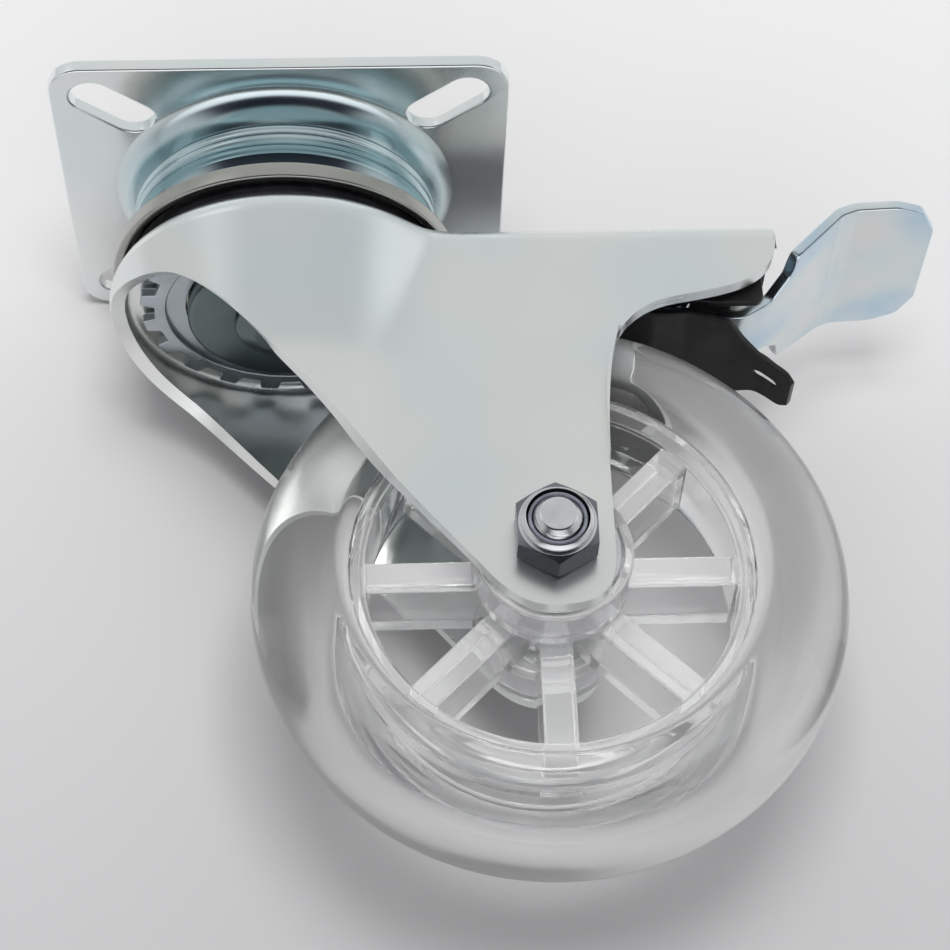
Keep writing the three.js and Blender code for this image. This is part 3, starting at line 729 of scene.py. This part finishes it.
def fork_columns():
    """Pairs of (along at the top, along and height at the edge) for the columns of the fork's wall."""
    tip = -FORK["crown"] * math.pi / 2
    edge = []
    for x, z in fork_edge():
        radius = crown_radius(z)
        if x <= -radius:
            continue
        along = x if x > 0 else -FORK["crown"] * math.asin(min(-x / radius, 1))
        edge.append((along, z))
    edge.insert(0, (tip, edge[0][1] + 0.25))
    foot = next(i for i, (along, z) in enumerate(edge) if along >= 31.4)
    lengths = [0.0]
    for a, b in zip(edge[foot:], edge[foot + 1:]):
        lengths.append(lengths[-1] + math.dist(a, b))
    columns = []
    for i, (along, z) in enumerate(edge):
        top = along
        if i > foot:
            top = edge[foot][0] + (FORK["rear"] - edge[foot][0]) * lengths[i - foot] / lengths[-1]
        columns.append((top, along, z))
    return columns


def fork():
    start = FORK["top"] - FORK["shoulder"]
    columns = fork_columns()
    mesh_data = bmesh.new()
    rows = 26
    bends = 8
    sides = []
    for side in (1, -1):
        grid = []
        for top, along, z in columns:
            line = []
            for k in range(bends):
                angle = math.pi / 2 * (1 - k / bends)
                inset = FORK["shoulder"] * (1 - math.cos(angle))
                line.append(fork_point(top, start + FORK["shoulder"] * math.sin(angle), inset))
            for k in range(rows + 1):
                t = k / rows
                line.append(fork_point(top + (along - top) * t, start + (z - start) * t))
            grid.append([mesh_data.verts.new((x, side * y, h)) for x, y, h in line])
        sides.append(grid)
        for a, b in zip(grid, grid[1:]):
            for k in range(len(a) - 1):
                mesh_data.faces.new((a[k], a[k + 1], b[k + 1], b[k]))
    near, far = sides
    for i in range(len(columns) - 1):
        mesh_data.faces.new((near[i][0], near[i + 1][0], far[i + 1][0], far[i][0]))
    bmesh.ops.remove_doubles(mesh_data, verts=mesh_data.verts, dist=1e-3)
    shell = finish_mesh("fork_shell", mesh_data, 60)
    up = max(shell.data.polygons, key=lambda face: face.center.z).normal
    modifier = shell.modifiers.new("sheet", "SOLIDIFY")
    modifier.thickness = FORK["sheet"] * MM
    modifier.offset = -1 if up.z > 0 else 1
    modifier.use_even_offset = False
    bake(shell)
    axle = bar_y("axle_tool", (AXLE[0], AXLE[2]), BOLT_HOLE, 30, 48, 0)
    hole = FORK["pin_hole"]
    pin = turned("pin_tool", [(0, -32), (hole, -32), (hole, -20), (0, -20)], 64)
    combine(shell, [axle, pin], "DIFFERENCE")
    bevel(shell, 0.42, 3, 45)
    return even_normals(shell)


# ------------ wheel


def tyre_profile():
    """The tyre's outside, from one inner edge over the tread to the other, as (radius, across)."""
    tread, half, widest, power, edge, edge_half = TYRE.values()
    start = math.acos(edge_half / half)
    flank = (widest - edge) / math.sin(start)
    lower = []
    for k in range(8, 0, -1):
        angle = start * k / 8
        lower.append((widest - flank * math.sin(angle), -half * math.cos(angle)))
    middle = []
    steps = 64
    for k in range(steps + 1):
        angle = -math.pi / 2 + math.pi * k / steps
        across = math.copysign(abs(math.sin(angle)) ** (2 / power), angle)
        out = max(math.cos(angle), 0) ** (2 / power)
        middle.append((widest + (tread - widest) * out, half * across))
    upper = [(radius, -across) for radius, across in lower[::-1]]
    return lower + middle + upper


def tyre():
    gap = 0.12
    outer, ridge, half = RIM["outer"] + gap, RIM["ridge"] + gap, RIM["ridge_half"]
    inside = rounded([(outer, TYRE["edge_half"], 0), (outer, half + 2, 0.6), (ridge, half, 0.6),
                      (ridge, -half, 0.6), (outer, -half - 2, 0.6), (outer, -TYRE["edge_half"], 0)],
                     steps=4, closed=False)
    obj = on_axle(turned("tyre", tyre_profile() + inside, 200))
    show(obj, "tyre", (TYRE_CLEAR, TYRE_BOND))
    mark_bond(obj, TYRE["edge_half"] - 0.02)


def mark_bond(obj, half):
    """Gives the faces where tyre and hub are moulded together the second material."""
    centre = Vector((AXLE[0], 0, AXLE[2])) * MM
    for face in obj.data.polygons:
        spot = face.center - centre
        out = Vector((spot.x, 0, spot.z)).length / MM
        joined = RIM["outer"] - 0.1 < out < RIM["ridge"] + 0.5 and abs(spot.y) / MM < half
        if joined and abs(face.normal.y) < 0.9:
            face.material_index = 1


def window(middle):
    """The opening between two spokes, centred on the angle middle, in degrees."""
    sector = 180 / SPOKES["count"]
    outline = []
    ends = ((RIM["inner"] + 0.2, 1.6, 16, 1), (BARREL["waist"] - 0.25, 0.1, 2, -1))
    for radius, corner, steps, side in ends:
        reach = sector - math.degrees(math.asin(SPOKES["width"] / 2 / radius))
        curve = arc(0, 0, radius, middle - side * reach, middle + side * reach, steps)
        outline += [(*curve[0], corner)] + [(*p, 0) for p in curve[1:-1]] + [(*curve[-1], corner)]
    return rounded(outline, steps=5)


def hub():
    inner, outer, half, ridge, low = RIM.values()
    flat = SPOKES["half"] + 0.6
    rim = turned("rim", rounded([
        (inner + 1.0, -half, 0.3), (outer, -half, 0.15), (outer, -low - 2, 0.6), (ridge, -low, 0.6),
        (ridge, low, 0.6), (outer, low + 2, 0.6), (outer, half, 0.15), (inner + 1.0, half, 0.3),
        (inner, flat, 0.8), (inner, -flat, 0.8)], steps=4), 192)
    seat, start, end, waist, bore = BARREL.values()
    pocket = BEARING["outer"] + GAP
    barrel = turned("barrel", rounded([
        (bore, -start, 0.2), (pocket, -start, 0.3), (pocket, -end, 0.3), (seat, -end, 0.5),
        (seat, -start + 0.9, 0.6), (waist, -start + 2.4, 1.2), (waist, start - 2.4, 1.2),
        (seat, start - 0.9, 0.6), (seat, end, 0.5), (pocket, end, 0.3), (pocket, start, 0.3),
        (bore, start, 0.2)], steps=4), 144)
    windows = [window(360 / SPOKES["count"] * (i + 0.5)) for i in range(SPOKES["count"])]
    disc = arc(0, 0, inner + 1.9, 0, 358, 179)
    hole = arc(0, 0, bore + 0.2, 0, 356, 89)
    web = slab("web", disc, windows + [hole], -SPOKES["half"], SPOKES["half"], 0.55)
    combine(web, [rim, barrel], "UNION")
    obj = on_axle(web)
    show(even_normals(obj), "hub", (HUB_CLEAR, HUB_BOND))
    mark_bond(obj, half - 0.05)


def steel_ring(node_name, inner, outer, low, high, edge=0.25, material=STEEL, slot="bright_steel"):
    """A ring about the axle, from low to high across the wheel."""
    profile = rounded([(inner, low), (outer, low), (outer, high), (inner, high)], edge)
    show(on_axle(turned("ring", profile, 96)), node_name, material)


def bearings():
    hole = BOLT_HOLE
    outside, outer, inner, low, high = BEARING.values()
    for label, side in (("near", -1), ("far", 1)):
        prefix = label + "_bearing_"

        def span(start, end):
            return (start, end) if side > 0 else (-end, -start)

        steel_ring(prefix + "outer_ring", outer, outside, *span(low, high))
        steel_ring(prefix + "inner_ring", hole, inner, *span(low, high))
        for name, start in (("inner_shield", low + 0.3), ("outer_shield", high - 0.8)):
            steel_ring(prefix + name, inner + GAP, outer - GAP, *span(start, start + 0.5), 0.15, DARK_ZINC,
                       "dark_zinc")
        steel_ring(label + "_washer", hole, 6.4, *span(high + GAP, 16.2), 0.2)
        repaint(prefix + "balls", STEEL)
    steel_ring("axle_sleeve", hole, 6.1, -7.7, 7.7, 0.2)


def hexagon(name, across, turn, low, high, chamfers):
    """A hexagon about Z; chamfers says at which of its low and high ends the corners are turned off."""
    segments = 6 * 14
    start = across * 0.485
    mesh_data = bmesh.new()
    rows = [[], [], [], []]
    for k in range(segments):
        angle = 2 * math.pi * k / segments
        off_middle = (angle % (math.pi / 3)) - math.pi / 6
        wide = across / 2 / math.cos(off_middle)
        slope = (wide - start) * 0.5
        (foot, rise), (head, fall) = [(start, slope) if cut else (wide - 0.2, 0.2) for cut in chamfers]
        spots = [(foot, low), (wide, low + rise), (wide, high - fall), (head, high)]
        for row, (radius, z) in zip(rows, spots):
            direction = angle + math.radians(turn)
            row.append(mesh_data.verts.new((radius * math.cos(direction), radius * math.sin(direction), z)))
    join_rows(mesh_data, rows)
    mesh_data.faces.new(rows[0])
    mesh_data.faces.new(rows[-1])
    return finish_mesh(name, mesh_data, 25)


def threaded_bar(name, radius, pitch, low, threaded_to, high):
    """A bar about Z, with a screw thread from its low end up to threaded_to."""
    chamfer, depth = 1.0, 0.55
    segments = 64
    step = pitch / 10
    heights = [low + step * i for i in range(int((threaded_to - low) / step))] + [threaded_to + 0.6, high]
    mesh_data = bmesh.new()
    rings = []
    for z in heights:
        ring = []
        for k in range(segments):
            turn = k / segments
            phase = (z / pitch + turn) % 1
            groove = depth * (1 - abs(2 * phase - 1) * 1.15)
            groove = min(max(groove, 0), depth * 0.9) if z < threaded_to else 0
            r = min(radius - groove, radius - chamfer + (z - low))
            angle = 2 * math.pi * turn
            ring.append(mesh_data.verts.new((r * math.cos(angle), r * math.sin(angle), z)))
        rings.append(ring)
    join_rows(mesh_data, rings)
    crown = add_ring(mesh_data, radius - chamfer - 0.35, low - 0.15, segments)
    join_rows(mesh_data, [rings[0], crown])
    mesh_data.faces.new(crown)
    mesh_data.faces.new(rings[-1])
    return finish_mesh(name, mesh_data, 50)


def axle_bolt():
    leg = FORK["leg"] + GAP
    radius, pitch, tip, threaded_to, height = BOLT.values()
    bolt = threaded_bar("bolt", radius, pitch, tip, threaded_to, leg + 1)
    head = hexagon("head", HEXAGON, 0, leg, leg + height, (False, True))
    combine(bolt, [head], "UNION")
    show(even_normals(on_axle(bolt)), "axle_bolt", STEEL)


def axle_nut():
    """The locking nut with its collar, and the nylon ring in it."""
    leg = FORK["leg"] + GAP
    hole = BOLT_HOLE
    nut = hexagon("nut", HEXAGON, 30, -leg - NUT, -leg, (True, True))
    collar = turned("collar", rounded([
        (0, -leg - 1, 0), (5.9, -leg - 1, 0), (5.9, -leg - 6.2, 0.6), (5.2, -leg - 7, 0.5),
        (0, -leg - 7, 0)]), 96)
    combine(nut, [collar], "UNION")
    bore = turned("bore", [(0, -leg - 9), (5.15, -leg - 9), (5.15, -leg - 4.6), (hole, -leg - 4.2),
                           (hole, 0), (0, 0)], 96)
    combine(nut, [bore], "DIFFERENCE")
    nut = even_normals(on_axle(nut), 25)
    show(nut, "axle_nut", (STEEL, NUT_FLATS_PAINTED_SHADE))
    # painted shade: the hex flats get the darker steel copy, the collar keeps the bright steel
    for face in nut.data.polygons:
        spot = face.center / MM - Vector(AXLE)
        if math.hypot(spot.x, spot.z) > 5.95:
            face.material_index = 1

    deep = leg + NUT
    insert = turned("insert", rounded([(4.15, -deep - 1.2, 0.3), (4.8, -deep - 1.2, 0.3),
                                       (4.8, -deep + 0.6, 0.2), (4.15, -deep + 0.6, 0.2)]), 72)
    show(on_axle(insert), "nut_insert", NYLON)


# ------------ brake


def stepped(table, x):
    """The value at x on a line through the table's (x, value) points."""
    for (x0, v0), (x1, v1) in zip(table, table[1:]):
        if x <= x1:
            t = min(max((x - x0) / (x1 - x0), 0), 1)
            return v0 + (v1 - v0) * t
    return table[-1][1]


def drilled(obj, extras, holes):
    """Joins the extras to the object, then cuts the holes."""
    combine(obj, extras, "UNION")
    return even_normals(combine(obj, holes, "DIFFERENCE"))


def pivot_hole(pivot, pin, segments=48):
    return bar_y("hole", pivot, pin["hole"], 20, segments, 0)


def brake_pedal():
    pad = rounded([(60, 7.5), (85.2, 7.5, 0.8), (88.2, 11, 0.8), (89.0, 15.8, 1.2), (97.5, 17.6, 6),
                   (108, 17.6, 4), (112.8, 15.6, 3), (115.3, 10.4, 1)], steps=6, closed=False)
    px, pz = PEDAL_PIVOT
    line = [(px, pz - 2.6), (71.5, -35.8, 3), (75, -36.6, 3), (80.4, -36.2, 4), (84, -34, 4), (97.6, -22, 4),
            (100.6, -20.9, 4), (115.3, -20.2)]
    pedal = bent_sheet("pedal", line, lambda x: stepped(pad, x), 2.0, 0.5, 0.4)
    eye = bar_y("eye", PEDAL_PIVOT, 3.4, 7.3, 48, 0.4)
    drilled(pedal, [eye], [pivot_hole(PEDAL_PIVOT, PEDAL_PIN)])
    show(pedal, "brake_pedal", ZINC_PEDAL)


def brake_leaf():
    """The spring leaf, with the tooth for the lock ring at its front and a slot in its tail."""
    blade = rounded([(23.6, 1.3), (26.6, 1.3, 0.6), (28.5, 7, 1), (50, 7, 2), (54, 12, 2), (77, 12, 2),
                     (79.5, 8.4, 2), (82.5, 5.6, 2), (85, 5, 3), (87.2, 4.9, 1.5), (88.6, 3)],
                    steps=5, closed=False)
    line = [(24.0, -30.5), (34, -31.6, 6), (41, -33.3, 6), (50, -34.2, 6), (58, -36.4, 6), (64.5, -38.7, 5),
            (70, -38.6, 5), (78, -41, 8), (83.6, -44.1, 6), (88.4, -48.4)]
    leaf = bent_sheet("leaf", line, lambda x: stepped(blade, x), 1.2, 0.3, 0.5)
    eye = bar_y("eye", LEAF_PIVOT, 2.9, 6.7, 48, 0.4)
    corners = [(23.8, -1.3), (25.6, -1.3), (25.6, 1.3), (23.8, 1.3)]
    tooth = slab("tooth", rounded(corners, 0.3), [], -31, -29.6, 0.2)
    oval = slab("oval", slot_outline(5.6, 2.8), [], -6, 6, 0.02, 1)
    tilt = Matrix.Rotation(math.radians(41), 4, "Y")
    placed(oval, tilt, (84.4, 0, -44.8))
    drilled(leaf, [eye, tooth], [pivot_hole(LEAF_PIVOT, LEAF_PIN), oval])
    show(leaf, "brake_leaf", BLACK)


def brake_bracket():
    """Two cheeks and a roof under the fork's crown."""
    half, sheet, start, end, low = BRACKET.values()
    top = FORK["top"] - FORK["sheet"] - GAP
    side = rounded([(start, top, 0.8), (end - 3, top, 0.8), (end, top - 3, 1), (end, low, 1.5), (75, low, 4),
                    (62, -36.6, 20), (53, -34.8, 4), (start, -34.8, 0.8)], steps=6)
    upright = Matrix.Rotation(math.pi / 2, 4, "X")
    cheeks = []
    for sign in (-1, 1):
        middle = sign * (half - sheet / 2)
        cheek = slab("cheek", side, [], -sheet / 2, sheet / 2, 0.3)
        cheeks.append(placed(cheek, upright, (0, middle, 0)))
    flat = rounded_rectangle(end - 3 - start, half * 2 - 0.5, 0.6, 3)
    roof = slab("roof", flat, [], top - sheet, top, 0.3)
    placed(roof, Matrix(), ((start + end - 3) / 2, 0, 0))
    holes = [pivot_hole(PEDAL_PIVOT, PEDAL_PIN, 40), pivot_hole(LEAF_PIVOT, LEAF_PIN, 40)]
    show(drilled(roof, cheeks, holes), "brake_bracket", BLACK)


def cross_pins():
    """The riveted pins on which pedal and leaf rock."""
    for name, pivot, sizes in (("pedal_pin", PEDAL_PIVOT, PEDAL_PIN), ("rocker_pin", LEAF_PIVOT, LEAF_PIN)):
        end, under, radius = 16.2, 14.5, sizes["radius"]
        profile = rounded([(0, -end, 0), (3, -end, 0.6), (3, -under, 0.15), (radius, -under, 0.15),
                           (radius, under, 0.15), (3, under, 0.15), (3, end, 0.6), (0, end, 0)])
        pin = placed(turned("pin", profile, 64), ALONG_Y, (pivot[0], 0, pivot[1]))
        show(pin, name, DARK_ZINC)


# ------------ the castor

show(top_plate(), "top_plate", ZINC_PLATE)
for make in (race_cap_and_seal, kingpin, lower_race_cup, lock_ring):
    make()
for name in ("upper_ball_ring", "lower_ball_ring"):
    repaint(name, STEEL)
show(fork(), "fork", ZINC_FORK)
for make in (tyre, hub, bearings, axle_bolt, axle_nut, brake_pedal, brake_leaf, brake_bracket, cross_pins):
    make()

# ------------ stage, light and camera

TABLE_TILT = math.radians(5.5)
# painted shade: the table's colour darkens towards the bottom in place of the light's falloff
TABLE_PAINTED_FALLOFF = [(0.0, (0.40, 0.40, 0.41)), (0.29, (0.49, 0.49, 0.50)), (0.57, (0.665, 0.665, 0.675)),
                (0.8, (0.76, 0.76, 0.76))]
table_point = Vector((0, 35.6, -2.0)) * MM
table_normal = Vector((0, -math.cos(TABLE_TILT), -math.sin(TABLE_TILT)))


def table_top():
    """A pale table that the castor lies on, its colour painted darker towards the bottom as painted shade;
    it hides nothing from behind.
    """
    mesh_data = bmesh.new()
    along = Vector((1, 0, 0))
    across = table_normal.cross(along).normalized()
    steps = 24
    reach = 3.2
    spots = [reach * (2 * i / steps - 1) for i in range(steps + 1)]
    grid = [[mesh_data.verts.new(table_point + along * u + across * v) for v in spots] for u in spots]
    for a, b in zip(grid, grid[1:]):
        for k in range(steps):
            mesh_data.faces.new((a[k], b[k], b[k + 1], a[k + 1]))
    mesh = bpy.data.meshes.new("table_top")
    mesh_data.to_mesh(mesh)
    mesh_data.free()
    obj = new_object("table_top", mesh)
    material, tree, shader, place = new_material("table_pale")
    height = node(tree, "ShaderNodeSeparateXYZ", {0: place}).outputs["Z"]
    # painted shade: the colour falls off with height across the table; the clouds are random tone
    fall = node(tree, "ShaderNodeMapRange", {"Value": height, "From Min": -0.26, "From Max": 0.20})
    clouds = {"Value": noise(tree, place, 3, 2), "To Min": -0.03, "To Max": 0.03}
    cloud = node(tree, "ShaderNodeMapRange", clouds)
    shade = node(tree, "ShaderNodeMath", {0: fall.outputs["Result"], 1: cloud.outputs["Result"]})
    feed(tree, shader, {"Base Color": ramp(tree, shade.outputs["Value"], TABLE_PAINTED_FALLOFF), "Roughness": 0.45,
                        "Specular IOR Level": 0.25})
    clear_back = node(tree, "ShaderNodeBsdfTransparent")
    side = node(tree, "ShaderNodeNewGeometry").outputs["Backfacing"]
    seen = mixed_surface(tree, side, shader.outputs[0], clear_back.outputs[0])
    tree.links.new(seen, tree.nodes["Material Output"].inputs["Surface"])
    obj.data.materials.append(material)


def soft_light(name, position, size, power, colour=(1, 1, 1)):
    """A broad lamp aimed at the castor; it shows in no reflection."""
    data = bpy.data.lights.new(name, "AREA")
    data.shape = "RECTANGLE"
    data.size, data.size_y = size
    data.energy = power
    data.color = colour
    lamp = new_object(name, data)
    lamp.location = position
    lamp.rotation_euler = (LIGHTS_AIM - lamp.location).to_track_quat("-Z", "Y").to_euler()
    lamp.visible_glossy = False


def part_of(tree, direction, axis):
    """How far the direction reaches along the axis."""
    made = node(tree, "ShaderNodeVectorMath", {0: direction, 1: axis}, operation="DOT_PRODUCT")
    return made.outputs["Value"]


def lobe(tree, direction, towards, inside, outside):
    """1 within an angle of inside degrees of the direction towards, 0 beyond outside degrees."""
    reach = part_of(tree, direction, Vector(towards).normalized())
    return eased(tree, reach, math.cos(math.radians(outside)), math.cos(math.radians(inside)))


def within(tree, value, inside, outside):
    """1 where the size of value is below inside, 0 where it is above outside."""
    size = node(tree, "ShaderNodeMath", {0: value}, operation="ABSOLUTE").outputs["Value"]
    return eased(tree, size, outside, inside)


def surroundings():
    """A pale light tent, with a wide dark opening in front of the castor and brighter panels beside it."""
    world = bpy.data.worlds.new("room")
    scene.world = world
    world.use_nodes = True
    tree = world.node_tree
    background = tree.nodes["Background"]
    direction = node(tree, "ShaderNodeTexCoord").outputs["Generated"]
    split = node(tree, "ShaderNodeSeparateXYZ", {0: direction})
    rise = {"Value": split.outputs["Z"], "From Min": -1.0, "From Max": 1.0}
    height = node(tree, "ShaderNodeMapRange", rise)
    room = ramp(tree, height.outputs["Result"], [
        (0.0, (1.30, 1.30, 1.32)), (0.10, (1.10, 1.10, 1.12)), (0.25, (0.60, 0.60, 0.61)),
        (0.60, (0.64, 0.65, 0.65)), (0.85, (0.72, 0.73, 0.73)), (1.0, (0.80, 0.80, 0.80))])
    for towards, inside, outside, colour in PANELS:
        room = blended(tree, lobe(tree, direction, towards, inside, outside), room, colour)
    tall = within(tree, part_of(tree, direction, OPENING["up"]), *OPENING["height"])
    spread_out = within(tree, split.outputs["X"], *OPENING["width"])
    ahead = part_of(tree, direction, OPENING["centre"])
    front = node(tree, "ShaderNodeMapRange", {"Value": ahead, "From Min": 0.0, "From Max": 0.2})
    shape = tall
    for limit in (spread_out, front.outputs["Result"]):
        shape = node(tree, "ShaderNodeMath", {0: shape, 1: limit}, operation="MULTIPLY").outputs["Value"]
    room = blended(tree, shape, room, OPENING["colour"])
    path = node(tree, "ShaderNodeLightPath")
    seen = blended(tree, path.outputs["Is Camera Ray"], room, (0.78, 0.78, 0.79))
    tree.links.new(seen, background.inputs["Color"])


def camera():
    data = bpy.data.cameras.new("camera")
    data.sensor_width = 36
    data.lens = 97.4
    data.clip_start = 0.01
    data.clip_end = 20
    obj = new_object("camera", data)
    position = Vector((14.06, -379.98, -287.59)) * MM
    right = Vector((0.99893555, -0.02539132, -0.03851039))
    forward = Vector((0.04143676, 0.86076817, 0.50730776))
    up = right.cross(forward)
    matrix = Matrix((right, up, -forward)).transposed().to_4x4()
    matrix.translation = position
    obj.matrix_world = matrix
    scene.camera = obj


PANELS = (
    ((-0.62, -0.68, 0.38), 6, 18, (1.05, 1.05, 1.04)),
    ((0.85, -0.35, 0.20), 6, 18, (0.95, 0.95, 0.95)),
)
LIGHTS_AIM = Vector((0.03, 0, -0.06))
OPENING = {"centre": (0.0, -0.82, -0.57), "up": (0.0, -0.57, 0.82), "height": (0.26, 0.46),
           "width": (0.62, 0.90), "colour": (0.02, 0.02, 0.03)}

table_top()
surroundings()
camera()
soft_light("window", (0.05, -1.0, -0.12), (0.4, 0.36), 7.0, (1.0, 0.995, 0.985))
soft_light("fill", (0.05, -0.85, -0.75), (0.9, 0.6), 2.0)
scene.view_settings.view_transform = "Standard"
scene.cycles.caustics_refractive = False
scene.cycles.caustics_reflective = False
for limit in ("max_bounces", "glossy_bounces", "transmission_bounces"):
    setattr(scene.cycles, limit, 32)
scene.cycles.transparent_max_bounces = 64
